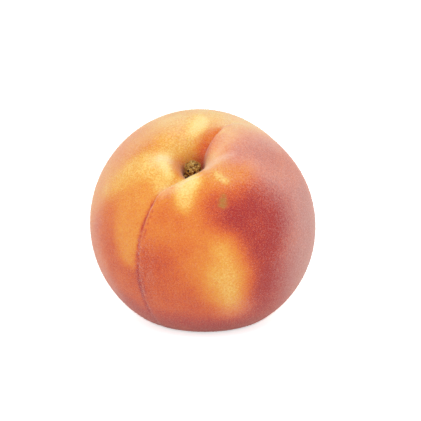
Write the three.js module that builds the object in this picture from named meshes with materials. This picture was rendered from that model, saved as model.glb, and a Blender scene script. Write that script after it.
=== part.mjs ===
// A ripe peach: one fleshy fruit, and the short woody stub of its stem standing in the cavity.
//
// Millimetres, +Z up. The fruit lies tilted, as a peach set down on a table does, on a small
// flat spot of its skin. The origin is the middle of that spot.
//
// The flesh is one closed skin, grown from a plump ball by pressing dents into it: a broad
// basin, a funnel and a narrow pit round the stem, the groove of the suture, and two shallow
// hollows.
// It is worked out in the fruit's own frame, which is then turned as the fruit lies:
//   x points from the middle to the suture, y to the right cheek, z to the stem.

import * as THREE from 'three';

// ---------------------------------------------------------------- driving dimensions

// How far the ball reaches from its middle, before any dent
const SUTURE_REACH = 35.4;
const RIGHT_CHEEK_REACH = 37.1;
const LEFT_CHEEK_REACH = 35.1;
const STEM_REACH = 37.0;
const BLOSSOM_REACH = 37.2;

// How the fruit lies
const MIDDLE = { x: -0.8, y: -1.2, z: 32.3 };
const STEM_HEADING = -102;
const STEM_LEAN = 38.4;
const SUTURE_TURN = -21;
const FLATTENING = 3.0;

// Basin and pit, both round a point a little to the right of the stem axis
const BASIN = { depth: 3.0, alongSuture: 11.5, acrossSuture: 8.0 };
const PIT = { depth: 5.6, radius: 4.5 };
const PIT_SIDE = 2.3;

// Funnel that opens the left and back of the pit
const FUNNEL = { depth: 4.5, x: -2.0, y: -2.5, radius: 5.0 };

// Level seat at the bottom of the pit, where the stem grows in
const SEAT = { height: 24.6, radius: 3.0, blend: 0.9 };
const STEM_SIDE = 1.7;

// Fine crease that continues the groove down the front
const CREASE = { depth: 0.22, width: 0.6 };

// Shallow hollow behind the stem on the right, and the flat furrow down the back
const HOLLOW = { depth: 0.8, x: -6.0, y: 10.5, radius: 4.5 };
const FURROW = { depth: 0.6, y: 13.0, width: 10.0 };

// The groove, station by station. The angle goes from the stem, negative down the back
// and positive down the suture. Side is where the bottom of the groove lies, across the
// suture. The right wall is steep and the left one gentle, so each has its own width.
const GROOVE = [
	{ angle: -180, side: 0.0, depth: 0.0, rightWall: 4.0, leftWall: 6.0 },
	{ angle: -120, side: 5.0, depth: 0.0, rightWall: 4.0, leftWall: 6.0 },
	{ angle: -90, side: 7.0, depth: 0.0, rightWall: 4.0, leftWall: 7.0 },
	{ angle: -60, side: 6.5, depth: 0.0, rightWall: 4.0, leftWall: 7.0 },
	{ angle: -45, side: 4.6, depth: 0.4, rightWall: 2.0, leftWall: 6.5 },
	{ angle: -32, side: 3.0, depth: 2.0, rightWall: 1.1, leftWall: 6.0 },
	{ angle: -20, side: 2.5, depth: 4.0, rightWall: 1.2, leftWall: 5.0 },
	{ angle: -10, side: 2.7, depth: 4.8, rightWall: 1.3, leftWall: 4.5 },
	{ angle: 0, side: 3.6, depth: 4.8, rightWall: 1.5, leftWall: 4.5 },
	{ angle: 10, side: 2.9, depth: 4.3, rightWall: 1.5, leftWall: 5.5 },
	{ angle: 18, side: 0.7, depth: 3.1, rightWall: 1.1, leftWall: 7.5 },
	{ angle: 24, side: -1.1, depth: 1.9, rightWall: 0.7, leftWall: 9.0 },
	{ angle: 30, side: -1.5, depth: 1.1, rightWall: 0.6, leftWall: 9.0 },
	{ angle: 45, side: -1.9, depth: 0.3, rightWall: 0.6, leftWall: 8.0 },
	{ angle: 60, side: -1.1, depth: 0.1, rightWall: 0.6, leftWall: 6.0 },
	{ angle: 75, side: 0.5, depth: 0.1, rightWall: 0.6, leftWall: 6.0 },
	{ angle: 90, side: 1.9, depth: 0.1, rightWall: 0.6, leftWall: 6.0 },
	{ angle: 105, side: 2.7, depth: 0.1, rightWall: 0.6, leftWall: 6.0 },
	{ angle: 140, side: 1.9, depth: 0.0, rightWall: 2.0, leftWall: 6.0 },
	{ angle: 180, side: 0.0, depth: 0.0, rightWall: 4.0, leftWall: 6.0 },
];

// The stub of the stem
const STUB = { baseRadius: 2.8, waistRadius: 2.45, topRadius: 2.6, height: 5.2, ovalness: 0.08 };
const STUB_GAP = 0.3;

// The skin's mesh: meridians round the stem axis, and rings of rising angle from the stem
const MERIDIANS = 72;
const CROWDING = 0.6;
const RING_STEPS = [
	{ from: 1.5, to: 10.5, step: 0.75 },
	{ from: 12, to: 32, step: 1.5 },
	{ from: 36, to: 148, step: 4.6 },
	{ from: 153, to: 177, step: 6 },
];

// ---------------------------------------------------------------- small helpers

const { clamp, degToRad, radToDeg, smoothstep } = THREE.MathUtils;

// One quantity of the groove at any angle: a smooth curve through the stations
function grooveAt(quantity, angle) {

	const last = GROOVE.length - 2;
	let k = 0;
	while (k < last && GROOVE[k + 1].angle <= angle) k += 1;

	const here = GROOVE[k];
	const next = GROOVE[k + 1];
	const span = next.angle - here.angle;
	const u = (angle - here.angle) / span;
	const leave = stationSlope(quantity, k) * span;
	const arrive = stationSlope(quantity, k + 1) * span;

	const fromHere = (1 + 2 * u) * (1 - u) ** 2 * here[quantity] + u * (1 - u) ** 2 * leave;
	const fromNext = u ** 2 * (3 - 2 * u) * next[quantity] - u ** 2 * (1 - u) * arrive;
	return fromHere + fromNext;

}

// Slope of that curve at a station, from its two neighbours
function stationSlope(quantity, k) {

	if (k === 0 || k === GROOVE.length - 1) return 0;
	const before = GROOVE[k - 1];
	const after = GROOVE[k + 1];
	return (after[quantity] - before[quantity]) / (after.angle - before.angle);

}

// A bell curve: 1 at the middle, and nearly 0 beyond twice the width
function bell(distance, width) {

	return Math.exp(-((distance / width) ** 2));

}

// ---------------------------------------------------------------- the skin

// A point of the skin in the fruit's own frame. The direction is a unit vector.
function skinPoint(direction) {

	const cheekMean = (RIGHT_CHEEK_REACH + LEFT_CHEEK_REACH) / 2;
	const cheekHalfDifference = (RIGHT_CHEEK_REACH - LEFT_CHEEK_REACH) / 2;
	const flat = Math.hypot(direction.x, direction.y);
	const cheekReach = cheekMean + cheekHalfDifference * direction.y / Math.max(flat, 1e-9);
	const endReach = direction.z > 0 ? STEM_REACH : BLOSSOM_REACH;

	const point = new THREE.Vector3(
		direction.x * SUTURE_REACH,
		direction.y * cheekReach,
		direction.z * endReach,
	);
	const ball = point.clone();

	// Groove, crease and furrow are pressed in toward the middle
	const angle = radToDeg(Math.atan2(direction.x, direction.z));
	const offGroove = ball.y - grooveAt('side', angle);
	const wall = grooveAt(offGroove > 0 ? 'rightWall' : 'leftWall', angle);
	const groove = grooveAt('depth', angle) * bell(offGroove, wall);

	const creaseFade = smoothstep(angle, 14, 26) * smoothstep(180 - angle, 20, 60);
	const creaseShape = Math.exp(-(Math.abs(offGroove / CREASE.width) ** 1.5));
	const crease = CREASE.depth * creaseShape * creaseFade;

	const furrowFade = smoothstep(-angle, 20, 50) * smoothstep(180 + angle, 40, 90);
	const furrow = FURROW.depth * bell(ball.y - FURROW.y, FURROW.width) * furrowFade;

	// The stem end: basin, pit, funnel and hollow
	const stemEnd = smoothstep(direction.z, 0, 0.3);
	const acrossPit = ball.y - PIT_SIDE;
	const basinShape = bell(ball.x, BASIN.alongSuture) * bell(acrossPit, BASIN.acrossSuture);
	const basin = BASIN.depth * basinShape * stemEnd;
	const fromPit = Math.hypot(ball.x, acrossPit) / PIT.radius;
	const pit = PIT.depth * Math.exp(-(fromPit ** 3)) * stemEnd;
	const fromFunnel = Math.hypot(ball.x - FUNNEL.x, ball.y - FUNNEL.y);
	const funnel = FUNNEL.depth * bell(fromFunnel, FUNNEL.radius) * stemEnd;
	const fromHollow = Math.hypot(ball.x - HOLLOW.x, ball.y - HOLLOW.y);
	const hollow = HOLLOW.depth * bell(fromHollow, HOLLOW.radius) * stemEnd;

	point.addScaledVector(direction, -(groove + crease + furrow + hollow));
	point.z -= basin + pit + funnel;

	// The seat of the stem is level
	if (direction.z > 0) {

		const fromStem = Math.hypot(point.x, point.y - STEM_SIDE);
		const seat = 1 - smoothstep(fromStem, SEAT.radius, SEAT.radius + SEAT.blend);
		point.z = THREE.MathUtils.lerp(point.z, SEAT.height, seat);

	}

	return point;

}

// The turn from the fruit's own frame to the way it lies
const lie = new THREE.Matrix4()
	.makeRotationZ(degToRad(STEM_HEADING))
	.multiply(new THREE.Matrix4().makeRotationY(degToRad(STEM_LEAN)))
	.multiply(new THREE.Matrix4().makeRotationZ(degToRad(SUTURE_TURN)))
	.setPosition(MIDDLE.x, MIDDLE.y, MIDDLE.z);

// The underside is flattened softly where it would reach below the surface
function rest(point) {

	const z = point.z;
	if (z < -FLATTENING) point.z = 0;
	else if (z < FLATTENING) point.z = (z + FLATTENING) ** 2 / (4 * FLATTENING);
	return point;

}

// The azimuth of a meridian at one ring. Meridians crowd together along the groove, front
// and back, and bend sideways with it, so that one of them always follows its bottom.
function azimuthAt(meridian, ringAngle) {

	const even = 2 * Math.PI * meridian / MERIDIANS;
	const awayFromEnds = smoothstep(ringAngle, 5, 25) * smoothstep(180 - ringAngle, 5, 25);
	const crowded = even - CROWDING * awayFromEnds * Math.sin(2 * even) / 2;

	const ringRadius = SUTURE_REACH * Math.sin(degToRad(ringAngle));
	const front = clamp(grooveAt('side', ringAngle) / ringRadius, -0.5, 0.5);
	const back = clamp(grooveAt('side', -ringAngle) / ringRadius, -0.5, 0.5);
	const nearFront = (0.5 + 0.5 * Math.cos(crowded)) ** 2;
	const nearBack = (0.5 - 0.5 * Math.cos(crowded)) ** 2;
	return crowded + Math.asin(front) * nearFront - Math.asin(back) * nearBack;

}

function buildFruitGeometry() {

	const ringAngles = [];
	for (const { from, to, step } of RING_STEPS) {

		for (let angle = from; angle <= to; angle += step) ringAngles.push(angle);

	}

	// The stem end first, then ring after ring, then the blossom end
	const points = [skinPoint(new THREE.Vector3(0, 0, 1))];
	for (const ringAngle of ringAngles) {

		for (let meridian = 0; meridian < MERIDIANS; meridian += 1) {

			const polar = degToRad(ringAngle);
			const azimuth = azimuthAt(meridian, ringAngle);
			const direction = new THREE.Vector3(
				Math.sin(polar) * Math.cos(azimuth),
				Math.sin(polar) * Math.sin(azimuth),
				Math.cos(polar),
			);
			points.push(skinPoint(direction));

		}

	}
	points.push(skinPoint(new THREE.Vector3(0, 0, -1)));
	for (const point of points) rest(point.applyMatrix4(lie));

	// Two triangles for each cell between rings, and a fan at each end
	const indices = [];
	const blossomEnd = points.length - 1;
	const vertex = (ring, meridian) => 1 + ring * MERIDIANS + meridian % MERIDIANS;
	for (let meridian = 0; meridian < MERIDIANS; meridian += 1) {

		indices.push(0, vertex(0, meridian), vertex(0, meridian + 1));
		for (let ring = 0; ring < ringAngles.length - 1; ring += 1) {

			const a = vertex(ring, meridian);
			const b = vertex(ring + 1, meridian);
			const c = vertex(ring + 1, meridian + 1);
			const d = vertex(ring, meridian + 1);
			indices.push(a, b, c);
			indices.push(a, c, d);

		}
		const lastRing = ringAngles.length - 1;
		indices.push(blossomEnd, vertex(lastRing, meridian + 1), vertex(lastRing, meridian));

	}

	const geometry = new THREE.BufferGeometry().setFromPoints(points);
	geometry.setIndex(indices);
	geometry.computeVertexNormals();
	return geometry;

}

// ---------------------------------------------------------------- the stub of the stem

// A short oval peg, waisted above its foot, with a rounded, broken top
function buildStubGeometry() {

	const profile = [
		new THREE.Vector2(0, 0),
		new THREE.Vector2(STUB.baseRadius, 0),
		new THREE.Vector2(STUB.baseRadius, 0.15 * STUB.height),
		new THREE.Vector2(STUB.waistRadius, 0.45 * STUB.height),
		new THREE.Vector2(STUB.topRadius, 0.78 * STUB.height),
		new THREE.Vector2(0.9 * STUB.topRadius, 0.92 * STUB.height),
		new THREE.Vector2(0.6 * STUB.topRadius, STUB.height),
		new THREE.Vector2(0, 0.97 * STUB.height),
	];
	const geometry = new THREE.LatheGeometry(profile, 28);
	geometry.rotateX(Math.PI / 2);
	geometry.scale(1 + STUB.ovalness / 2, 1 - STUB.ovalness / 2, 1);
	return geometry;

}

// ---------------------------------------------------------------- the scene graph

const skinMaterial = new THREE.MeshStandardMaterial({ color: 0xe0793f, roughness: 0.85, metalness: 0 });
const woodMaterial = new THREE.MeshStandardMaterial({ color: 0x8a5a1e, roughness: 0.95, metalness: 0 });

const fruit = new THREE.Mesh(buildFruitGeometry(), skinMaterial);
fruit.name = 'fruit';

const stemStub = new THREE.Mesh(buildStubGeometry(), woodMaterial);
stemStub.name = 'stem_stub';
stemStub.position.set(0, STEM_SIDE, SEAT.height + STUB_GAP);

// The fruit's own frame, turned and placed as the fruit lies
const stemEnd = new THREE.Group();
stemEnd.applyMatrix4(lie);
stemEnd.add(stemStub);

const peach = new THREE.Group();
peach.add(fruit);
peach.add(stemEnd);

export default peach;
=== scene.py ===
# %% [markdown]
# A ripe peach. It is one fleshy fruit, lying tilted on a small flat spot of its skin, with
# the short woody stub of its stem standing in the cavity. This lesson dresses the plain
# solids: it grows a finer skin, colours it, covers it with fuzz and carves the stub.

# %% Load the fixed frame
import math

import bpy
import numpy as np
from mathutils import Matrix, Vector, noise


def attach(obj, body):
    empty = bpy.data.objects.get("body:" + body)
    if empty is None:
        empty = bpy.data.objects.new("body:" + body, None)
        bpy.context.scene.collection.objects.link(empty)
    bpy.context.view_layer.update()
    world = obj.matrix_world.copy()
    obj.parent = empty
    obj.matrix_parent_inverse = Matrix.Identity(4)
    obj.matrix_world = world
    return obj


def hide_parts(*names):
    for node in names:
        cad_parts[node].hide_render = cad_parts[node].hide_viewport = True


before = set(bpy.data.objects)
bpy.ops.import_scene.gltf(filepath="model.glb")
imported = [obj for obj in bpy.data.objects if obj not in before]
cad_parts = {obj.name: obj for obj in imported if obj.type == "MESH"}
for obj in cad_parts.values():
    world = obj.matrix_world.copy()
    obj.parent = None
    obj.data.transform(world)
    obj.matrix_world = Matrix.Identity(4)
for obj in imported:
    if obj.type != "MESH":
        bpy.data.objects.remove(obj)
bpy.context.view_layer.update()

MM = 0.001

# %% [markdown]
# The camera looks along +Y and down on the fruit by 15 degrees, from half a metre away. A
# long lens from further off would flatten the fruit, and a short one close by would bulge
# it, so the distance is set first and the lens follows from the width of the view.

# %% Camera
SENSOR_WIDTH = 36
ELEVATION = math.radians(15)
VIEW_DISTANCE = 500.0
VIEW_WIDTH = 134.9
FRUIT_MIDDLE = Vector((-0.8, -1.2, 32.3))
PICTURE_OFFSET = Vector((3.12, 3.72))

toward_viewer = Vector((0, -math.cos(ELEVATION), math.sin(ELEVATION)))
picture_up = Vector((0, math.sin(ELEVATION), math.cos(ELEVATION)))
aim = FRUIT_MIDDLE + Vector((PICTURE_OFFSET.x, 0, 0)) + PICTURE_OFFSET.y * picture_up

lens = bpy.data.cameras.new("view")
lens.sensor_width = SENSOR_WIDTH
lens.lens = lens.sensor_width * VIEW_DISTANCE / VIEW_WIDTH
lens.clip_start = 0.01
camera = bpy.data.objects.new("view", lens)
camera.location = (aim + VIEW_DISTANCE * toward_viewer) * MM
camera.rotation_mode = "QUATERNION"
camera.rotation_quaternion = toward_viewer.to_track_quat("Z", "Y")
bpy.context.scene.collection.objects.link(camera)
bpy.context.scene.camera = camera
print("lens:", round(lens.lens, 1), "mm")

# %% [markdown]
# The light is that of a white studio: a pale surround that reaches every side, one large
# soft lamp high above the viewer, and a white table. The table is so bright that it fades into
# the background. A sun lamp with a wide angle is used for the soft lamp, because it lights
# near and far parts of the table alike. To the camera the table also glows by itself, which
# fades the fruit's shadow, and to the fruit it is a plain white board.

# %% Light and table
SURROUND_STRENGTH = 0.735
LAMP_STRENGTH = 1.48
LAMP_SPREAD = math.radians(70)
LAMP_FROM = Vector((0.0, -0.85, 1.0))
TABLE_SIZE = 6.0
TABLE_WHITE = (0.95, 0.95, 0.95, 1.0)
TABLE_GLOW = 0.7

world = bpy.data.worlds.new("studio")
world.use_nodes = True
world.node_tree.nodes["Background"].inputs["Color"].default_value = (1.0, 1.0, 1.0, 1.0)
world.node_tree.nodes["Background"].inputs["Strength"].default_value = SURROUND_STRENGTH
bpy.context.scene.world = world

lamp = bpy.data.lights.new("soft_lamp", "SUN")
lamp.energy = LAMP_STRENGTH
lamp.angle = LAMP_SPREAD
lamp_object = bpy.data.objects.new("soft_lamp", lamp)
lamp_object.rotation_mode = "QUATERNION"
lamp_object.rotation_quaternion = LAMP_FROM.to_track_quat("Z", "Y")
bpy.context.scene.collection.objects.link(lamp_object)

half = TABLE_SIZE / 2
table_mesh = bpy.data.meshes.new("table")
table_mesh.from_pydata([(-half, -half, 0), (half, -half, 0), (half, half, 0), (-half, half, 0)],
                       [], [(0, 1, 2, 3)])
table = bpy.data.objects.new("table", table_mesh)
bpy.context.scene.collection.objects.link(table)

table_paint = bpy.data.materials.new("table_white")
table_paint.use_nodes = True
table_shader = table_paint.node_tree.nodes["Principled BSDF"]
table_shader.inputs["Base Color"].default_value = TABLE_WHITE
table_shader.inputs["Roughness"].default_value = 0.9
table_shader.inputs["Specular IOR Level"].default_value = 0.0
table_shader.inputs["Emission Color"].default_value = (1.0, 1.0, 1.0, 1.0)
glow = table_paint.node_tree.nodes.new("ShaderNodeMath")
glow.operation = "MULTIPLY"
glow.inputs[1].default_value = TABLE_GLOW
rays = table_paint.node_tree.nodes.new("ShaderNodeLightPath")
table_paint.node_tree.links.new(rays.outputs["Is Camera Ray"], glow.inputs[0])
table_paint.node_tree.links.new(glow.outputs[0], table_shader.inputs["Emission Strength"])
table_mesh.materials.append(table_paint)

bpy.context.scene.view_settings.view_transform = "Standard"
print("table:", TABLE_SIZE, "m square")

# %% [markdown]
# The skin is one closed surface. On a real peach the flesh swells round the stem and up to
# the suture, the seam where the carpel closed, so the shape is a plump ball with dents
# pressed into it. It could be sculpted, but a formula gives the same skin at any fineness.
# The solid was made with this one too, only with a slightly deeper crease. It is written in
# the fruit's own axes: x to the suture, y to the fuller right cheek, z to the stem.

# %% Measures of the fruit, in millimetres and degrees
SUTURE_REACH = 35.4
RIGHT_CHEEK_REACH = 37.1
LEFT_CHEEK_REACH = 35.1
STEM_REACH = 37.0
BLOSSOM_REACH = 37.2
BASIN_DEPTH, BASIN_ALONG, BASIN_ACROSS = 3.0, 11.5, 8.0
PIT_DEPTH, PIT_RADIUS, PIT_SIDE = 5.6, 4.5, 2.3
FUNNEL_DEPTH, FUNNEL_X, FUNNEL_Y, FUNNEL_RADIUS = 4.5, -2.0, -2.5, 5.0
SEAT_HEIGHT, SEAT_RADIUS, SEAT_BLEND, STEM_SIDE = 24.6, 3.0, 0.9, 1.7
CREASE_DEPTH, CREASE_WIDTH = 0.10, 0.6
HOLLOW_DEPTH, HOLLOW_X, HOLLOW_Y, HOLLOW_RADIUS = 0.8, -6.0, 10.5, 4.5
FURROW_DEPTH, FURROW_Y, FURROW_WIDTH = 0.6, 13.0, 10.0
FLATTENING = 3.0

# Angle from the stem (minus is down the back), side, depth, right wall, left wall
GROOVE = np.array([
    (-180, 0.0, 0.0, 4.0, 6.0), (-120, 5.0, 0.0, 4.0, 6.0), (-90, 7.0, 0.0, 4.0, 7.0),
    (-60, 6.5, 0.0, 4.0, 7.0), (-45, 4.6, 0.4, 2.0, 6.5), (-32, 3.0, 2.0, 1.1, 6.0),
    (-20, 2.5, 4.0, 1.2, 5.0), (-10, 2.7, 4.8, 1.3, 4.5), (0, 3.6, 4.8, 1.5, 4.5),
    (10, 2.9, 4.3, 1.5, 5.5), (18, 0.7, 3.1, 1.1, 7.5), (24, -1.1, 1.9, 0.7, 9.0),
    (30, -1.5, 1.1, 0.6, 9.0), (45, -1.9, 0.3, 0.6, 8.0), (60, -1.1, 0.1, 0.6, 6.0),
    (75, 0.5, 0.1, 0.6, 6.0), (90, 1.9, 0.1, 0.6, 6.0), (105, 2.7, 0.1, 0.6, 6.0),
    (140, 1.9, 0.0, 2.0, 6.0), (180, 0.0, 0.0, 4.0, 6.0)])
SIDE, DEPTH, RIGHT_WALL, LEFT_WALL = 1, 2, 3, 4


def smoothstep(value, low, high):
    u = np.clip((value - low) / (high - low), 0, 1)
    return u * u * (3 - 2 * u)


def bell(distance, width):
    return np.exp(-(distance / width) ** 2)


def groove_at(quantity, angle):
    """One quantity of the groove at any angle: a smooth curve through the stations."""
    stations, values = GROOVE[:, 0], GROOVE[:, quantity]
    slopes = np.zeros(len(stations))
    slopes[1:-1] = (values[2:] - values[:-2]) / (stations[2:] - stations[:-2])
    k = np.clip(np.searchsorted(stations, angle, side="right") - 1, 0, len(stations) - 2)
    span = stations[k + 1] - stations[k]
    u = (angle - stations[k]) / span
    leave, arrive = slopes[k] * span, slopes[k + 1] * span
    here = (1 + 2 * u) * (1 - u) ** 2 * values[k] + u * (1 - u) ** 2 * leave
    return here + u ** 2 * (3 - 2 * u) * values[k + 1] - u ** 2 * (1 - u) * arrive


print("groove stations:", len(GROOVE))

# %% [markdown]
# Each point of the skin starts on the ball and is pushed in by the groove, its fine
# crease, the furrow down the back and a small hollow, and then down by the basin, the pit
# and the funnel on its left. Each dent fades out softly, so it has no edge where it starts.
# Last, the skin is made level where the stem stands.

# %% From a direction to a point of the skin


def skin_ball(direction):
    """The plump ball before any dent, for unit directions of shape (n, 3)."""
    dx, dy, dz = direction.T
    flat = np.maximum(np.hypot(dx, dy), 1e-9)
    cheek = ((RIGHT_CHEEK_REACH + LEFT_CHEEK_REACH) / 2
             + (RIGHT_CHEEK_REACH - LEFT_CHEEK_REACH) / 2 * dy / flat)
    return np.stack([dx * SUTURE_REACH, dy * cheek,
                     dz * np.where(dz > 0, STEM_REACH, BLOSSOM_REACH)], 1)


def skin_point(direction):
    """Points of the skin for unit directions, in the fruit's own axes."""
    dx, dz = direction[:, 0], direction[:, 2]
    x, y, z = skin_ball(direction).T

    angle = np.degrees(np.arctan2(dx * SUTURE_REACH, z))
    off = y - groove_at(SIDE, angle)
    wall = np.where(off > 0, groove_at(RIGHT_WALL, angle), groove_at(LEFT_WALL, angle))
    groove = groove_at(DEPTH, angle) * bell(off, wall)
    crease = CREASE_DEPTH * np.exp(-np.abs(off / CREASE_WIDTH) ** 1.5)
    crease *= smoothstep(angle, 14, 26) * smoothstep(180 - angle, 20, 60)
    furrow = FURROW_DEPTH * bell(y - FURROW_Y, FURROW_WIDTH)
    furrow *= smoothstep(-angle, 20, 50) * smoothstep(180 + angle, 40, 90)

    stem_end = smoothstep(dz, 0, 0.3)
    across = y - PIT_SIDE
    basin = BASIN_DEPTH * bell(x, BASIN_ALONG) * bell(across, BASIN_ACROSS) * stem_end
    pit = PIT_DEPTH * np.exp(-(np.hypot(x, across) / PIT_RADIUS) ** 3) * stem_end
    funnel = FUNNEL_DEPTH * bell(np.hypot(x - FUNNEL_X, y - FUNNEL_Y), FUNNEL_RADIUS) * stem_end
    hollow = HOLLOW_DEPTH * bell(np.hypot(x - HOLLOW_X, y - HOLLOW_Y), HOLLOW_RADIUS) * stem_end

    inward = (groove + crease + furrow + hollow)[:, None]
    point = np.stack([x, y, z], 1) - inward * direction
    point[:, 2] -= basin + pit + funnel

    from_stem = np.hypot(point[:, 0], point[:, 1] - STEM_SIDE)
    seat = (1 - smoothstep(from_stem, SEAT_RADIUS, SEAT_RADIUS + SEAT_BLEND)) * (dz > 0)
    point[:, 2] += (SEAT_HEIGHT - point[:, 2]) * seat
    return point


def direction_at(polar, around):
    """Unit directions from degrees from the stem and degrees round from the suture."""
    polar, around = np.radians(polar), np.radians(around)
    return np.stack([np.sin(polar) * np.cos(around), np.sin(polar) * np.sin(around),
                     np.cos(polar)], -1)


# %% [markdown]
# The skin's net has rings round the stem axis and meridians from stem to blossom end, like
# a globe. The rings are closer together in the cavity, and the meridians crowd along the
# groove and bend with it, so that the crease always has points of its own.

# %% Net of the skin
MERIDIANS = 336
CROWDING = 0.6
RING_ANGLES = np.concatenate([np.arange(0.5, 34, 0.38), np.arange(34, 152, 0.68),
                              np.arange(152, 179.5, 1.1)])


def meridian_azimuths(ring_angle):
    even = 2 * np.pi * np.arange(MERIDIANS) / MERIDIANS
    inside = smoothstep(ring_angle, 5, 25) * smoothstep(180 - ring_angle, 5, 25)
    crowded = even - CROWDING * inside * np.sin(2 * even) / 2
    radius = SUTURE_REACH * np.sin(np.radians(ring_angle))
    front = np.clip(groove_at(SIDE, np.array([ring_angle]))[0] / radius, -0.5, 0.5)
    back = np.clip(groove_at(SIDE, np.array([-ring_angle]))[0] / radius, -0.5, 0.5)
    near_front = (0.5 + 0.5 * np.cos(crowded)) ** 2
    near_back = (0.5 - 0.5 * np.cos(crowded)) ** 2
    return crowded + np.arcsin(front) * near_front - np.arcsin(back) * near_back


rings = [direction_at(np.full(MERIDIANS, a), np.degrees(meridian_azimuths(a)))
         for a in RING_ANGLES]
directions = np.concatenate([[[0, 0, 1]], *rings, [[0, 0, -1]]])
own_points = skin_point(directions)
print("points on the skin:", len(directions))

# %% [markdown]
# The fruit leans, so the finished skin is turned from its own axes to the way it lies. The
# underside is flattened softly where it would dip below the table, as ripe flesh gives.

# %% Lay the fruit down
STEM_HEADING, STEM_LEAN, SUTURE_TURN = -102.0, 38.4, -21.0
lie = (Matrix.Translation(FRUIT_MIDDLE)
       @ Matrix.Rotation(math.radians(STEM_HEADING), 4, "Z")
       @ Matrix.Rotation(math.radians(STEM_LEAN), 4, "Y")
       @ Matrix.Rotation(math.radians(SUTURE_TURN), 4, "Z"))


def lay_down(points):
    turned = points @ np.array(lie.to_3x3()).T + np.array(FRUIT_MIDDLE)
    z = turned[:, 2]
    soft = (z + FLATTENING) ** 2 / (4 * FLATTENING)
    turned[:, 2] = np.where(z < -FLATTENING, 0, np.where(z < FLATTENING, soft, z))
    return turned


def net_faces(ring_count):
    j = np.arange(MERIDIANS)
    nxt = (j + 1) % MERIDIANS
    cells = [np.stack([1 + r * MERIDIANS + j, 1 + (r + 1) * MERIDIANS + j,
                       1 + (r + 1) * MERIDIANS + nxt, 1 + r * MERIDIANS + nxt], 1)
             for r in range(ring_count - 1)]
    last = 1 + (ring_count - 1) * MERIDIANS
    top = [(0, 1 + a, 1 + b) for a, b in zip(j, nxt)]
    end = last + MERIDIANS
    bottom = [(end, last + b, last + a) for a, b in zip(j, nxt)]
    return np.concatenate(cells).tolist() + top + bottom


skin_mesh = bpy.data.meshes.new("skin")
skin_mesh.from_pydata(lay_down(own_points) * MM, [], net_faces(len(RING_ANGLES)))
skin_mesh.shade_smooth()
skin = bpy.data.objects.new("skin", skin_mesh)
bpy.context.scene.collection.objects.link(skin)
print("skin triangles:", sum(len(p.vertices) - 2 for p in skin_mesh.polygons))

# %% [markdown]
# The colour of a peach is laid on in strokes. The ground is yellow, and the side that the
# sun reached is blushed red. An image could be wrapped round the fruit, but an image slides
# and blurs, so the blush is painted by rule: one number for each point of the skin, from 0
# for cream to 1 for crimson. A few strokes of the same number are painted shade, in the
# hollows round the stem and at the foot, and one is a painted highlight. Each stroke is a
# path on the skin in degrees from the stem and degrees round from the suture, with its half
# width in mm, a soft edge in mm, and the level that it leaves. Later strokes lie over
# earlier ones.

# %% How a stroke is painted
SKIN_RADIUS = 36.0
WANDER = 0.016

wandering = directions + WANDER * np.array([noise.noise_vector(Vector(d) * 7) for d in directions])


def stroke_mask(path, soft):
    """1 on a path over the skin, falling to 0 over the soft edge."""
    path = np.array(path, float)
    places, widths = direction_at(path[:, 0], path[:, 1]), path[:, 2]
    outside = np.full(len(directions), np.inf)
    for k in range(max(len(path) - 1, 1)):
        start, stop = places[k], places[min(k + 1, len(path) - 1)]
        way = stop - start
        share = np.clip((wandering - start) @ way / max(way @ way, 1e-9), 0, 1)
        spot = start + share[:, None] * way
        spot /= np.linalg.norm(spot, axis=1, keepdims=True)
        width = widths[k] + share * (widths[min(k + 1, len(path) - 1)] - widths[k])
        distance = np.linalg.norm(wandering - spot, axis=1) * SKIN_RADIUS
        outside = np.minimum(outside, distance - width)
    return 1 - smoothstep(outside, 0, soft)


def paint(values, strokes):
    for _, path, soft, level in strokes:
        values = values + (level - values) * stroke_mask(path, soft)
    return values


def spread(values, reach):
    """The values bled into each other over the net, by a bell curve of this reach in mm."""
    net = values[1:-1].reshape(len(RING_ANGLES), MERIDIANS)
    apart = np.radians(RING_ANGLES[:, None] - RING_ANGLES[None, :]) * SKIN_RADIUS
    weights = bell(apart, reach) * np.gradient(RING_ANGLES)
    net = (weights / weights.sum(1, keepdims=True)) @ net
    turns = np.arange(MERIDIANS // 2 + 1)
    reach_round = reach / (SKIN_RADIUS * np.sin(np.radians(RING_ANGLES)))
    damping = np.exp(-(turns * reach_round[:, None] / 2) ** 2)
    net = np.fft.irfft(np.fft.rfft(net, axis=1) * damping, MERIDIANS, axis=1)
    return np.concatenate([[net[0].mean()], net.ravel(), [net[-1].mean()]])
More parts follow.
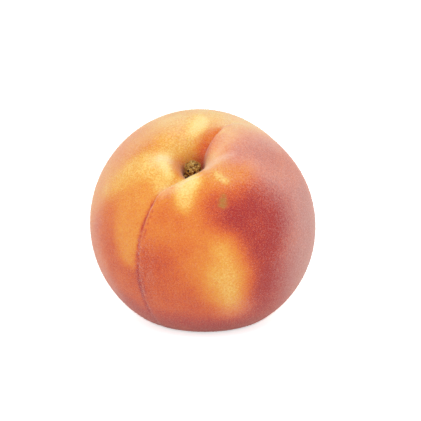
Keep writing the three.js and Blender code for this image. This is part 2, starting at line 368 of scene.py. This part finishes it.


# %% [markdown]
# The broad strokes go on first: the ground of the back, the orange belly, the red cheeks and
# the yellow window, as a leaf leaves when it keeps the sun off. They are then bled into each
# other, because ripening skin changes colour over several millimetres.

# %% Broad strokes of the blush, with painted shade at the foot
BROAD_REACH = 2.4
BROAD_STROKES = [
    # name, path of (from stem, round, half width), soft edge, level
    ("ground of the back", [(80, 180, 30), (70, -110, 25)], 25, 0.42),
    ("blush low on the back", [(100, -165, 6), (112, -120, 9), (120, 150, 8)], 18, 0.62),
    ("crown", [(25, -135, 5), (45, -150, 12)], 9, 0.22),
    ("peach of the upper left", [(30, -82, 3), (47, -82, 7)], 8, 0.46),
    ("left cheek", [(59, -34, 3), (72, -32, 7), (86, -29, 10.5), (105, -28, 12)], 8, 0.74),
    ("orange belly", [(40, 14, 4), (47, 14, 7)], 8, 0.57),
    ("red belly", [(60, 6, 3), (66, 6, 5), (76, 8, 10), (90, 12, 13)], 8, 0.75),
    # The crimson foot is the skin's deep red, made deeper still as painted shade where the
    # underside turns to the table
    ("crimson foot, deepened as painted shade", [(106, -14, 5), (110, 20, 7), (117, 42, 8), (114, 60, 8)], 10, 0.97),
    ("orange round the window", [(47, 39, 2.5), (62, 39, 2.5), (76, 42, 2.5)], 6, 0.50),
    ("yellow window", [(54, 50, 1.2), (62, 47.5, 2.3), (70, 46.5, 2.8), (78, 46.5, 2.3),
                       (83, 48, 1)], 5, 0.27),
    ("red above the window", [(34, 57, 3), (38, 52, 2.5)], 4.5, 0.78),
    ("pale back of the shoulder", [(24, 158, 2), (32, 162, 4), (46, 170, 8)], 5, 0.25),
    ("rose of the far edge", [(42, 136, 3), (56, 136, 5), (70, 130, 8), (82, 120, 8)], 9, 0.80),
    ("right cheek", [(46, 92, 4), (60, 98, 10), (80, 96, 15), (95, 85, 17)], 7, 0.97),
    ("mauve shoulder", [(23, 112, 0.8), (28, 122, 3), (36, 126, 5), (45, 124, 5.5),
                        (54, 124, 5)], 4, 0.85),
    ("crimson heart", [(36, 66, 2.5), (42, 70, 4), (51, 74.5, 6.2), (65, 76.5, 7.6),
                       (85, 74, 10.2)], 3.5, 1.0),
    ("red under the salmon band", [(32, 62, 1.5), (33, 82, 1.2)], 3, 0.80),
    ("peach right of the stem", [(9, 115, 1.5), (15, 112, 2.5), (16, 90, 2)], 3, 0.35),
    ("salmon band", [(20, 68, 1.2), (22.5, 82, 1.3), (27, 95, 1.6), (31.5, 107, 1.3)], 3, 0.44),
]
blush_and_painted_light = spread(paint(np.full(len(directions), 0.45), BROAD_STROKES), BROAD_REACH)

# %% [markdown]
# The finer strokes are the gold and cream patches round the cavity, and the red floor of the
# back groove behind the stem. The deeper gold on the pit wall beside the stem and on the
# groove's floor under the lip is painted shade. They bleed over a shorter way, so that they
# stay crisper.

# %% Finer strokes of the blush, with painted shade and a painted highlight
FINE_REACH = 1.1
FINE_STROKES = [
    ("gold beside the suture", [(27, -14, 2), (40, -17, 3.2), (48, -14, 2.2), (54, -12, 1.2),
                                (62, -9, 0.3)], 6, 0.41),
    ("gold streak over the cheek", [(16, -48, 2), (30, -49, 2.2), (40, -50, 1.6), (47, -54, 0.3)],
     5, 0.28),
    ("funnel round the stem", [(5, -90, 1), (11, -110, 3), (11, -150, 2.5)], 4, 0.26),
    ("straw patch", [(19, -10, 1.5), (19, -46, 2)], 4, 0.21),
    ("cream patch", [(6.5, -52, 1), (9.5, -42, 1.5), (9.5, -24, 1.2), (12.5, -8, 0.3)], 3, 0.0),
    # The groove's floor under the lip and the pit wall left of the stem are painted deeper gold:
    # painted shade in these hollows
    ("painted shade in the groove under the lip", [(5, 10, 0.5), (9, 2, 0.6), (13, 4, 0.6), (17, 3, 0.4)], 1.5, 0.32),
    ("gold and painted shade left of the stem", [(3, -70, 1), (5, -25, 1.3), (8, -2, 0.8)], 2.5, 0.50),
    # The tongue behind the stem is a pale patch of the skin, made paler still as a painted
    # highlight on the lit crest of the valley
    ("tongue behind the stem", [(17, -164, 0.6), (23, -166, 1.0), (28, -166, 0.8)], 2.4, 0.0),
    ("tail of the lip's tongue", [(21, 29, 1.4), (26, 28, 1), (29, 27, 0.3)], 4, 0.17),
    ("tongue under the lip", [(13, 36, 1), (16, 33, 2), (20, 29, 1)], 3.5, 0.06),
    ("orange beside the back groove", [(12, 140, 0.8), (17, 147, 0.8), (22, 152, 0.3)], 2.5, 0.50),
    ("orange left of the back groove", [(8, -177, 0.5), (13, -180, 0.8), (22, 179, 0.8)],
     2.2, 0.38),
    ("orange top of the back groove", [(15, 165, 1.2), (20, 173, 1.1), (25, 174, 0.9),
                                       (31, 169, 0.3)], 2.4, 0.55),
    ("red floor of the back groove", [(6, 150, 1), (11, 156, 1.5), (15, 164, 1)], 2, 0.72),
]
blush_and_painted_light = spread(paint(blush_and_painted_light, FINE_STROKES), FINE_REACH)
print("blush from", round(blush_and_painted_light.min(), 2), "to", round(blush_and_painted_light.max(), 2))

# %% [markdown]
# The suture itself shows as a red line, broken and doubled here and there, with a redder
# band of skin and pale flecks on its right. It is painted by the distance from the bottom of
# the crease. Low on the front the line runs a little to the left of it. A noise on the skin
# gives the breaks, and a finer one the crumbs and the flecks.

# %% Line of the suture
SEAM_WIDTH, SEAM_SHIFT = 0.75, 0.5
DOUBLE_SIDE, DOUBLE_WIDTH = 1.5, 0.45
BAND_SIDE, BAND_WIDTH, BAND_LEVEL = 1.5, 2.0, 0.86
FLECK_SIDE, FLECK_WIDTH, FLECK_HAZE = 0.4, 1.0, 0.4

seam_angle = np.degrees(np.arctan2(directions[:, 0] * SUTURE_REACH, directions[:, 2] * STEM_REACH))
seam_off = skin_ball(directions)[:, 1] - groove_at(SIDE, seam_angle)
seam_off += SEAM_SHIFT * smoothstep(seam_angle, 50, 75)
along_seam = smoothstep(seam_angle, 24, 30) * smoothstep(150 - seam_angle, 0, 50)
broken = np.array([noise.noise(Vector(d) * 30) for d in directions])
crumbled = np.array([noise.noise(Vector(d) * 75) for d in directions])
doubled = 0.6 * bell(seam_off - DOUBLE_SIDE, DOUBLE_WIDTH) * smoothstep(broken, -0.2, 0.4)
strength = 0.75 + 0.15 * smoothstep(seam_angle, 35, 60) + 0.6 * broken + 0.5 * crumbled
seam = (bell(seam_off, SEAM_WIDTH) * strength + doubled) * along_seam
band = 0.2 * bell(seam_off - BAND_SIDE, BAND_WIDTH) * smoothstep(seam_angle, 50, 72) * along_seam
blush_and_painted_light += (BAND_LEVEL - blush_and_painted_light) * band * (blush_and_painted_light < BAND_LEVEL)
seam = np.clip(seam, 0, 1)
seam_level = 0.85 + 0.15 * smoothstep(seam_angle, 55, 80)
blush_and_painted_light += (seam_level - blush_and_painted_light) * seam * (blush_and_painted_light < seam_level)
flecks = bell(seam_off - FLECK_SIDE, FLECK_WIDTH) * smoothstep(crumbled, 0.2, 0.45)
flecks = flecks * smoothstep(seam_angle, 40, 55) * along_seam
print("points on the seam line:", int((seam > 0.5).sum()))

# %% [markdown]
# Where the fuzz is thick it veils the colour under it with a pale haze. The haze is a
# second number, painted with the same strokes, and weaker on the line of the suture. Its
# strokes along the edges and over the crown are painted sheen, the pale velvet rim that the
# light gives, and a few narrow ones are painted highlights on lit crests. A third one marks
# the two small scuffs, where rubbed skin has healed yellowish and olive. All three are kept
# on the mesh as attributes, because the materials read them there.

# %% Strokes of the haze and painted sheen, and of the scuffs
# The strokes along the left and right edges and over the crown are painted sheen, the pale rim
# that light gives the velvet
HAZE_AND_SHEEN_STROKES = [
    ("crown", [(22, -145, 2), (34, -145, 7), (50, -162, 10)], 8, 0.26),
    ("far crown", [(38, -118, 4), (40, -150, 5)], 8, 0.42),
    ("upper left", [(35, -100, 5), (50, -70, 5)], 9, 0.16),
    ("left edge", [(60, -56, 3), (74, -46, 4), (96, -30, 6)], 9, 0.17),
    ("cream patch", [(10, -42, 1), (15, -50, 1)], 4, 0.16),
    ("start of the suture", [(24, 1, 0.6), (20, 13, 0.8)], 3, 0.24),
    ("wall right of the stem", [(13, 84, 1), (15, 100, 2), (13, 120, 1), (17, 142, 1)], 3.5, 0.24),
    ("right edge", [(50, 128, 5), (64, 128, 6), (77, 122, 10), (92, 112, 14)], 18, 0.33),
    ("mauve shoulder", [(26, 116, 2), (34, 124, 4), (46, 124, 5)], 6, 0.32),
    ("velvet of the back", [(75, 180, 25), (75, -120, 25)], 15, 0.20),
    ("back of the shoulder", [(26, 148, 2), (34, 155, 5), (46, 160, 8)], 6, 0.34),
    ("salmon band", [(24, 84, 2), (30, 98, 1.5)], 4, 0.12),
    ("foot of the window", [(90, 48, 2)], 7, 0.10),
    ("floor of the back groove", [(9, 155, 1), (15, 165, 1.2), (20, 173, 1), (28, 172, 0.6)],
     2, 0.03),
    ("tongue behind the stem", [(15, -160, 0.8), (23, -162, 1.5), (29, -161, 1)], 3, 0.08),
]
haze_and_sheen = spread(paint(np.zeros(len(directions)), HAZE_AND_SHEEN_STROKES), FINE_REACH)

# Painted highlights: the lit ridges beside the stem, the lit crest of the lip and the lit
# arc at the left rim of the funnel, painted as extra haze
PAINTED_HIGHLIGHTS = [
    # path, soft edge, haze of the painted highlight
    ([(13, 82, 0.1), (16.5, 109, 0.2), (20, 117, 0.2), (23, 121, 0.1)], 1.8, 0.45),
    ([(13, 100, 0.1), (14.5, 114, 0.2), (16.5, 128, 0.2), (19, 137, 0.1)], 1.3, 0.33),
    ([(19.5, 17, 0.0), (16.6, 31, 0.1), (15.4, 48, 0.1), (15, 62, 0.0)], 0.55, 0.32),
    ([(13.5, -51, 0.1), (10, -55, 0.2), (8.5, -50, 0.1)], 1.6, 0.30),
]
for path, soft, level in PAINTED_HIGHLIGHTS:
    haze_and_sheen += (level - haze_and_sheen) * stroke_mask(path, soft) * (haze_and_sheen < level)
haze_and_sheen = haze_and_sheen * (1 - 0.7 * seam) + FLECK_HAZE * flecks

SCUFFS = [
    # path, soft edge, scuff, blush under it
    ([(19.7, 80, 0.4), (23, 78, 0.9), (26, 78, 0.5)], 1.0, 0.10, 0.20),
    ([(30.4, 66, 0.0), (32, 64, 0.3), (34, 61, 0.4)], 1.5, 0.85, 0.70),
]
scuff = np.zeros(len(directions))
for path, soft, level, ground in SCUFFS:
    rubbed = stroke_mask(path, soft) * np.clip(0.85 + 0.8 * broken + 0.9 * crumbled, 0, 1)
    scuff = np.maximum(scuff, level * rubbed)
    blush_and_painted_light += (ground - blush_and_painted_light) * rubbed


def store(mesh, name, values):
    attribute = mesh.attributes.new(name, "FLOAT", "POINT")
    attribute.data.foreach_set("value", np.asarray(values, np.float32))


store(skin_mesh, "blush_and_painted_light", blush_and_painted_light)
store(skin_mesh, "haze_and_sheen", haze_and_sheen)
store(skin_mesh, "scuff", scuff)

# %% [markdown]
# A material is a tree of nodes, and a tree written node by node is long to read. These
# helpers each add one kind of node, wire up what feeds it and hand back its output.

# %% Helpers for materials


def new_material(name):
    material = bpy.data.materials.new(name)
    material.use_nodes = True
    return material, material.node_tree, material.node_tree.nodes["Principled BSDF"]


def add(tree, kind, **settings):
    node = tree.nodes.new(kind)
    for name, value in settings.items():
        setattr(node, name, value)
    return node


def attribute_value(tree, name):
    return add(tree, "ShaderNodeAttribute", attribute_name=name).outputs["Fac"]


def math_of(tree, operation, first, second=0.0, clamp=False):
    node = add(tree, "ShaderNodeMath", operation=operation, use_clamp=clamp)
    for socket, value in zip(node.inputs, (first, second)):
        if isinstance(value, (int, float)):
            socket.default_value = value
        else:
            tree.links.new(value, socket)
    return node.outputs[0]


def noise_of(tree, per_metre, detail=2.0, roughness=0.5):
    place = add(tree, "ShaderNodeTexCoord").outputs["Object"]
    texture = add(tree, "ShaderNodeTexNoise")
    texture.inputs["Scale"].default_value = per_metre
    texture.inputs["Detail"].default_value = detail
    texture.inputs["Roughness"].default_value = roughness
    tree.links.new(place, texture.inputs["Vector"])
    return texture.outputs["Fac"]


def mix_of(tree, factor, first, second):
    node = add(tree, "ShaderNodeMix", data_type="RGBA")
    for socket, value in zip((node.inputs[0], node.inputs[6], node.inputs[7]),
                             (factor, first, second)):
        if isinstance(value, (int, float)):
            socket.default_value = value
        elif isinstance(value, tuple):
            socket.default_value = (*value, 1.0)
        else:
            tree.links.new(value, socket)
    return node.outputs[2]


# %% [markdown]
# The colour itself is a node group, because the skin and the fuzz both use it. It bends the
# blush a little with noise, so that no stroke keeps a clean edge, and then looks the level
# up on a ramp of the colours that ripe skin goes through.

# %% Colour of the fruit
BLUSH_COLOURS = [
    (0.0, (0.88, 0.70, 0.28)),
    (0.15, (0.85, 0.58, 0.17)),
    (0.30, (0.78, 0.38, 0.07)),
    (0.45, (0.74, 0.26, 0.045)),
    (0.60, (0.69, 0.175, 0.035)),
    (0.75, (0.61, 0.11, 0.035)),
    (0.90, (0.48, 0.060, 0.035)),
    (1.0, (0.38, 0.035, 0.035)),
]
# The pale colour of the haze, used for the fuzz's veil and for the painted sheen and highlights
HAZE_AND_SHEEN_COLOUR = (0.85, 0.69, 0.60)
MOTTLE_PER_METRE, STIPPLE_PER_METRE, DUST_PER_METRE = 110.0, 2200.0, 1900.0
CLEAR_HAZE = 0.03
SCUFF_COLOUR = (0.39, 0.20, 0.045)


def new_group(name, inputs, outputs):
    group = bpy.data.node_groups.new(name, "ShaderNodeTree")
    for title, default in inputs:
        socket = group.interface.new_socket(title, in_out="INPUT", socket_type="NodeSocketFloat")
        socket.default_value = default
    for title, kind in outputs:
        group.interface.new_socket(title, in_out="OUTPUT", socket_type=kind)
    return group, group.nodes.new("NodeGroupInput"), group.nodes.new("NodeGroupOutput")


def offset_noise(tree, per_metre, detail, amount):
    """Noise round zero, as strong as the amount says."""
    centred = math_of(tree, "SUBTRACT", noise_of(tree, per_metre, detail), 0.5)
    return math_of(tree, "MULTIPLY", centred, amount)


peach_colour, given, result = new_group(
    "peach_colour",
    [("Blush and painted light", 0.45), ("Haze and sheen", 0.0), ("Scuff", 0.0), ("Mottle", 0.29), ("Stipple", 0.45),
     ("Dust", 0.26)],
    [("Color", "NodeSocketColor")])
mottle = offset_noise(peach_colour, MOTTLE_PER_METRE, 4.0, given.outputs["Mottle"])
stipple = offset_noise(peach_colour, STIPPLE_PER_METRE, 1.0, given.outputs["Stipple"])
level = math_of(peach_colour, "ADD", given.outputs["Blush and painted light"],
                math_of(peach_colour, "ADD", mottle, stipple))
ramp = add(peach_colour, "ShaderNodeValToRGB")
peach_colour.links.new(level, ramp.inputs["Fac"])
while len(ramp.color_ramp.elements) < len(BLUSH_COLOURS):
    ramp.color_ramp.elements.new(0.5)
for element, (position, colour) in zip(ramp.color_ramp.elements, BLUSH_COLOURS):
    element.position = position
    element.color = (*colour, 1.0)
dust = offset_noise(peach_colour, DUST_PER_METRE, 0.0, given.outputs["Dust"])
# The haze mixes in that pale colour: the fuzz's veil, and the painted sheen and highlights
veil_and_sheen = math_of(peach_colour, "ADD", given.outputs["Haze and sheen"],
               math_of(peach_colour, "SUBTRACT", dust, CLEAR_HAZE), clamp=True)
scuffed = mix_of(peach_colour, given.outputs["Scuff"], ramp.outputs["Color"], SCUFF_COLOUR)
with_haze_and_sheen = mix_of(peach_colour, veil_and_sheen, scuffed, HAZE_AND_SHEEN_COLOUR)
peach_colour.links.new(with_haze_and_sheen, result.inputs["Color"])


def fruit_colour(tree):
    """The colour group placed in a material, fed from the piece's own attributes."""
    node = add(tree, "ShaderNodeGroup", node_tree=peach_colour)
    tree.links.new(attribute_value(tree, "blush_and_painted_light"), node.inputs["Blush and painted light"])
    tree.links.new(attribute_value(tree, "haze_and_sheen"), node.inputs["Haze and sheen"])
    tree.links.new(attribute_value(tree, "scuff"), node.inputs["Scuff"])
    return node


# %% [markdown]
# Peach skin isn't glossy. The down spreads the light, so the surface is rough, with a soft
# sheen at the rim, and the flesh lets a little light through, which warms the shadows.

# %% Finish of the skin
skin_paint, tree, skin_shader = new_material("peach_skin")
tree.links.new(fruit_colour(tree).outputs["Color"], skin_shader.inputs["Base Color"])
skin_shader.inputs["Roughness"].default_value = 0.9
skin_shader.inputs["Specular IOR Level"].default_value = 0.1
skin_shader.inputs["Sheen Weight"].default_value = 0.45
skin_shader.inputs["Sheen Roughness"].default_value = 0.5
skin_shader.inputs["Sheen Tint"].default_value = (1.0, 0.80, 0.71, 1.0)
skin_shader.inputs["Subsurface Weight"].default_value = 0.4
skin_shader.inputs["Subsurface Radius"].default_value = (1.0, 0.4, 0.2)
skin_shader.inputs["Subsurface Scale"].default_value = 3.5 * MM
skin_mesh.materials.append(skin_paint)

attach(skin, "root")
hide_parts("fruit")

# %% [markdown]
# A peach is covered with short stiff hairs. They catch the light at the rim, which gives the
# fruit its pale velvet edge. Hair curves would be the usual way, but they don't export, so
# Geometry Nodes scatters slender three-sided spikes over the skin and makes them real mesh.
# Each hair leans a little its own way and takes a part of its colour from the skin under it.

# %% The tree that scatters the hairs
HAIR_LAYERS = 4
HAIRS_PER_LAYER = 46000
HAIR_LENGTH = 0.36
HAIR_THICKNESS = 0.03
HAIR_LEAN = 50.0
HAIR_TINT, HAIR_TINT_SHARE = (0.92, 0.80, 0.70), 0.5
SHORTEST, LONGEST = 0.5, 1.2

hair_paint, tree, hair_shader = new_material("peach_fuzz")
hair_tint = mix_of(tree, HAIR_TINT_SHARE, fruit_colour(tree).outputs["Color"], HAIR_TINT)
tree.links.new(hair_tint, hair_shader.inputs["Base Color"])
hair_shader.inputs["Roughness"].default_value = 0.7
hair_shader.inputs["Specular IOR Level"].default_value = 0.2

scatter = bpy.data.node_groups.new("scatter_hairs", "GeometryNodeTree")
scatter.interface.new_socket("Skin", in_out="INPUT", socket_type="NodeSocketGeometry")
for title, kind in (("Hairs per square metre", "NodeSocketFloat"), ("Length", "NodeSocketFloat"),
                    ("Thickness", "NodeSocketFloat"), ("Lean", "NodeSocketFloat"),
                    ("Seed", "NodeSocketInt"), ("Finish", "NodeSocketMaterial")):
    scatter.interface.new_socket(title, in_out="INPUT", socket_type=kind)
scatter.interface.new_socket("Hairs", in_out="OUTPUT", socket_type="NodeSocketGeometry")
given = scatter.nodes.new("NodeGroupInput")
result = scatter.nodes.new("NodeGroupOutput")
wire = scatter.links.new

roots = add(scatter, "GeometryNodeDistributePointsOnFaces", distribute_method="RANDOM")
wire(given.outputs["Skin"], roots.inputs["Mesh"])
wire(given.outputs["Hairs per square metre"], roots.inputs["Density"])
wire(given.outputs["Seed"], roots.inputs["Seed"])

spike = add(scatter, "GeometryNodeMeshCone", fill_type="NGON")
spike.inputs["Vertices"].default_value = 3
spike.inputs["Radius Top"].default_value = 0.0
wire(math_of(scatter, "MULTIPLY", given.outputs["Thickness"], 0.5), spike.inputs["Radius Bottom"])
wire(given.outputs["Length"], spike.inputs["Depth"])

# Each hair is tipped to a random side of its own, and turned about its root
minus_lean = math_of(scatter, "MULTIPLY", given.outputs["Lean"], -1.0)
tip = add(scatter, "ShaderNodeCombineXYZ")
for axis, seed in (("X", 11), ("Y", 12)):
    chance = add(scatter, "FunctionNodeRandomValue", data_type="FLOAT")
    wire(minus_lean, chance.inputs[2])
    wire(given.outputs["Lean"], chance.inputs[3])
    chance.inputs["Seed"].default_value = seed
    wire(chance.outputs[1], tip.inputs[axis])
turn = add(scatter, "FunctionNodeRandomValue", data_type="FLOAT")
turn.inputs[3].default_value = math.tau
turn.inputs["Seed"].default_value = 13
wire(turn.outputs[1], tip.inputs["Z"])
lean = add(scatter, "FunctionNodeRotateRotation", rotation_space="LOCAL")
wire(roots.outputs["Rotation"], lean.inputs["Rotation"])
wire(tip.outputs["Vector"], lean.inputs["Rotate By"])

size = add(scatter, "FunctionNodeRandomValue", data_type="FLOAT")
size.inputs[2].default_value = SHORTEST
size.inputs[3].default_value = LONGEST
size.inputs["Seed"].default_value = 14

plant = scatter.nodes.new("GeometryNodeInstanceOnPoints")
wire(roots.outputs["Points"], plant.inputs["Points"])
wire(spike.outputs["Mesh"], plant.inputs["Instance"])
wire(lean.outputs["Rotation"], plant.inputs["Rotation"])
wire(size.outputs[1], plant.inputs["Scale"])
real = scatter.nodes.new("GeometryNodeRealizeInstances")
wire(plant.outputs["Instances"], real.inputs["Geometry"])
coat = scatter.nodes.new("GeometryNodeSetMaterial")
wire(real.outputs["Geometry"], coat.inputs["Geometry"])
wire(given.outputs["Finish"], coat.inputs["Material"])
wire(coat.outputs["Geometry"], result.inputs["Hairs"])
print("nodes in the hair tree:", len(scatter.nodes))

# %% [markdown]
# The tree runs as a modifier on an object that shares the skin's mesh. Its result is kept
# as a plain mesh and the modifier goes. One layer of all the hairs would be too heavy a
# piece, so there are four lighter ones, each with a seed of its own.

# %% Grow the hairs, layer by layer
SKIN_AREA = sum(p.area for p in skin_mesh.polygons)


def grown(name, carrier_mesh, values):
    """A plain mesh object made by the hair tree on a carrier mesh."""
    carrier = bpy.data.objects.new(name, carrier_mesh)
    bpy.context.scene.collection.objects.link(carrier)
    modifier = carrier.modifiers.new("hairs", "NODES")
    modifier.node_group = scatter
    sockets = {item.name: item.identifier for item in scatter.interface.items_tree
               if item.in_out == "INPUT"}
    for title, value in values.items():
        modifier[sockets[title]] = value
    bpy.context.view_layer.update()
    evaluated = carrier.evaluated_get(bpy.context.evaluated_depsgraph_get())
    plain = bpy.data.meshes.new_from_object(evaluated)
    carrier.modifiers.remove(modifier)
    plain.name = name
    carrier.data = plain
    return carrier


for layer in range(HAIR_LAYERS):
    hairs = grown(f"fuzz_{layer + 1}", skin_mesh, {
        "Hairs per square metre": HAIRS_PER_LAYER / SKIN_AREA,
        "Length": HAIR_LENGTH * MM,
        "Thickness": HAIR_THICKNESS * MM,
        "Lean": math.radians(HAIR_LEAN),
        "Seed": 100 + layer,
        "Finish": hair_paint,
    })
    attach(hairs, "root")
    print(hairs.name, "faces:", len(hairs.data.polygons),
          "attributes:", [a.name for a in hairs.data.attributes][:6])

# %% [markdown]
# Beside the suture some hairs are longer and lie flatter, perhaps because the fold shelters
# them from rubbing. The same tree grows them, on a strip of skin cut out along the suture.

# %% Long hairs beside the suture
SEAM_HAIRS = 420
SEAM_HAIR_LENGTH = 1.1
SEAM_HAIR_THICKNESS = 0.045
SEAM_HAIR_LEAN = 85.0

near_seam = (np.abs(seam_off - 2.5) < 3.5) & (seam_angle > 45) & (seam_angle < 84)
kept_faces = [tuple(p.vertices) for p in skin_mesh.polygons if all(near_seam[list(p.vertices)])]
kept_points = sorted({i for face in kept_faces for i in face})
renumbered = {old: new for new, old in enumerate(kept_points)}
strip = bpy.data.meshes.new("seam_strip")
strip.from_pydata([skin_mesh.vertices[i].co for i in kept_points], [],
                  [tuple(renumbered[i] for i in face) for face in kept_faces])
for name, values in (("blush_and_painted_light", blush_and_painted_light), ("haze_and_sheen", haze_and_sheen), ("scuff", scuff)):
    store(strip, name, values[kept_points])
seam_hairs = grown("seam_hairs", strip, {
    "Hairs per square metre": SEAM_HAIRS / sum(p.area for p in strip.polygons),
    "Length": SEAM_HAIR_LENGTH * MM,
    "Thickness": SEAM_HAIR_THICKNESS * MM,
    "Lean": math.radians(SEAM_HAIR_LEAN),
    "Seed": 200,
    "Finish": hair_paint,
})
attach(seam_hairs, "root")
print("long hairs' faces:", len(seam_hairs.data.polygons))

# %% [markdown]
# The stub is what is left of the stem where the fruit was picked: a short, corky peg with a
# broken, rounded top and a small lobe low on its side. A profile turned round the axis gives
# the rough peg. To look like wood it needs lumps, fissures and holes in its real surface, so
# each point of the peg's net is moved in or out by noise and by a few holes at listed places.

# %% Shape of the stub
STUB_PROFILE = np.array([
    # radius, height over the seat
    (2.9, -0.4), (2.85, 0.4), (2.6, 1.2), (2.45, 2.2), (2.5, 3.2), (2.62, 3.9),
    (2.58, 4.5), (2.25, 5.05), (1.6, 5.4), (0.8, 5.5), (0.0, 5.45)])
STUB_RINGS, STUB_COLUMNS = 90, 120
LOBE_SIDE, LOBE_HEIGHT, LOBE_SIZE = -40.0, 1.9, 0.95
CLEFT_HEIGHT, CLEFT_DEPTH = 3.25, 0.55
LUMP_SIZE, CRUMB_SIZE, GRAIN_SIZE, FISSURE_DEPTH = 0.28, 0.16, 0.10, 0.22
TOP_STARTS, TOP_FADE = 4.4, 0.9
# Degrees round from the suture, height, radius and depth of each hole
STUB_HOLES = [(-75, 4.1, 0.35, 0.5), (-62, 2.9, 0.45, 0.8), (-20, 3.3, 0.5, 0.9),
              (10, 4.4, 0.3, 0.35), (48, 4.6, 0.4, 0.5), (70, 3.6, 0.5, 0.7),
              (25, 3.6, 0.3, 0.3), (-5, 4.9, 0.3, 0.3), (95, 4.4, 0.4, 0.5),
              (140, 3.5, 0.5, 0.6), (-130, 3.8, 0.5, 0.6), (180, 4.6, 0.4, 0.5)]


UPWARD = Vector((0, 0, 1))


def wrapped(degrees):
    return (degrees + 180) % 360 - 180


def stub_net():
    """Points of the stub in the fruit's own axes, and how deep each lies under its bark."""
    along = np.linspace(0, 1, len(STUB_PROFILE))
    t = np.linspace(0, 1, STUB_RINGS)
    radius = np.interp(t, along, STUB_PROFILE[:, 0])
    height = np.interp(t, along, STUB_PROFILE[:, 1])
    points, depths = [], []
    for r, h in zip(radius, height):
        for k in range(STUB_COLUMNS):
            side = 360 * k / STUB_COLUMNS
            out = Vector((math.cos(math.radians(side)), math.sin(math.radians(side)), 0))
            spot = out * r + Vector((0, 0, h))
            lumps = LUMP_SIZE * noise.noise(spot * 0.9 + Vector((7, 3, 1)))
            crumbs = CRUMB_SIZE * noise.noise(spot * 2.6) + GRAIN_SIZE * noise.noise(spot * 6.0)
            drawn_out = noise.noise(Vector((spot.x, spot.y, h * 0.35)) * 1.3)
            fissures = -FISSURE_DEPTH * max(0, 1 - 5 * abs(drawn_out))
            lobe_angle = wrapped(side - LOBE_SIDE)
            lobe = LOBE_SIZE * math.exp(-(lobe_angle / 26) ** 2
                                        - ((h - LOBE_HEIGHT) / 1.15) ** 2)
            cleft = -CLEFT_DEPTH * math.exp(-((lobe_angle - 6) / 20) ** 2
                                            - ((h - CLEFT_HEIGHT) / 0.4) ** 2)
            holes = 0.0
            for hole_side, hole_height, hole_radius, hole_depth in STUB_HOLES:
                across = math.radians(wrapped(side - hole_side)) * r
                away = math.hypot(across, h - hole_height) / hole_radius
                holes -= hole_depth * math.exp(-away ** 3)
            whole = min(1.0, r / 0.8)
            move = lumps + crumbs + (fissures + lobe + cleft + holes) * whole
            tilt = min(1.0, max(0.0, (h - TOP_STARTS) / TOP_FADE))
            normal = (out * (1 - tilt) * whole + UPWARD * tilt).normalized()
            points.append(spot + normal * move)
            depths.append(-(crumbs + fissures + cleft + holes))
    return points, depths


stub_points, stub_depths = stub_net()
print("deepest hole in the stub:", round(max(stub_depths), 2), "mm")

# %% [markdown]
# The points are joined into rings of four-sided faces, with a fan at the top and one flat
# face at the foot. The foot is sunk into the seat, so that no gap shows round it.

# %% Net of the stub
turned = [lie @ (point + Vector((0, STEM_SIDE, SEAT_HEIGHT))) * MM for point in stub_points]
columns = range(STUB_COLUMNS)
faces = [(r * STUB_COLUMNS + k, r * STUB_COLUMNS + (k + 1) % STUB_COLUMNS,
          (r + 1) * STUB_COLUMNS + (k + 1) % STUB_COLUMNS, (r + 1) * STUB_COLUMNS + k)
         for r in range(STUB_RINGS - 2) for k in columns]
tip_point = (STUB_RINGS - 1) * STUB_COLUMNS
last = (STUB_RINGS - 2) * STUB_COLUMNS
faces += [(last + k, last + (k + 1) % STUB_COLUMNS, tip_point) for k in columns]
faces.append(tuple(reversed(columns)))
stub_mesh = bpy.data.meshes.new("stub")
stub_mesh.from_pydata(turned[:tip_point + 1], [], faces)
stub_mesh.shade_smooth()
store(stub_mesh, "depth", stub_depths[:tip_point + 1])
stub = bpy.data.objects.new("stub", stub_mesh)
bpy.context.scene.collection.objects.link(stub)
print("stub faces:", len(faces))

# %% [markdown]
# The stub's colour follows its form: deep places are dark, partly as darker cork and partly
# as painted shade in the holes and fissures, and raised ones are pale and corky. The depth
# was kept on the mesh, and a fine grain is added to it before the ramp.

# %% Finish of the stub
# From near black, which is painted shade deep in the holes, to the pale raised cork
CORK_AND_SHADE_COLOURS = [(0.0, (0.015, 0.005, 0.003)), (0.25, (0.10, 0.035, 0.010)),
                (0.48, (0.29, 0.13, 0.020)), (0.66, (0.43, 0.24, 0.050)),
                (0.88, (0.62, 0.48, 0.22))]
GRAIN_PER_METRE, GRAIN_AMOUNT = 1500.0, 1.2
CORK_MIDDLE, DEPTH_DARKENS = 0.57, 1.5

stub_paint, tree, stub_shader = new_material("corky_stub")
depth = attribute_value(tree, "depth")
grain = offset_noise(tree, GRAIN_PER_METRE, 4.0, GRAIN_AMOUNT)
lit = math_of(tree, "SUBTRACT", math_of(tree, "ADD", CORK_MIDDLE, grain),
              math_of(tree, "MULTIPLY", depth, DEPTH_DARKENS))
cork_and_shade = add(tree, "ShaderNodeValToRGB")
tree.links.new(lit, cork_and_shade.inputs["Fac"])
while len(cork_and_shade.color_ramp.elements) < len(CORK_AND_SHADE_COLOURS):
    cork_and_shade.color_ramp.elements.new(0.5)
for element, (position, colour) in zip(cork_and_shade.color_ramp.elements, CORK_AND_SHADE_COLOURS):
    element.position = position
    element.color = (*colour, 1.0)
tree.links.new(cork_and_shade.outputs["Color"], stub_shader.inputs["Base Color"])
stub_shader.inputs["Roughness"].default_value = 0.8
stub_shader.inputs["Specular IOR Level"].default_value = 0.3
bump = add(tree, "ShaderNodeBump")
bump.inputs["Strength"].default_value = 0.5
bump.inputs["Distance"].default_value = 0.1 * MM
tree.links.new(noise_of(tree, 4000.0, 3.0), bump.inputs["Height"])
tree.links.new(bump.outputs["Normal"], stub_shader.inputs["Normal"])
stub_mesh.materials.append(stub_paint)
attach(stub, "root")
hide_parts("stem_stub")
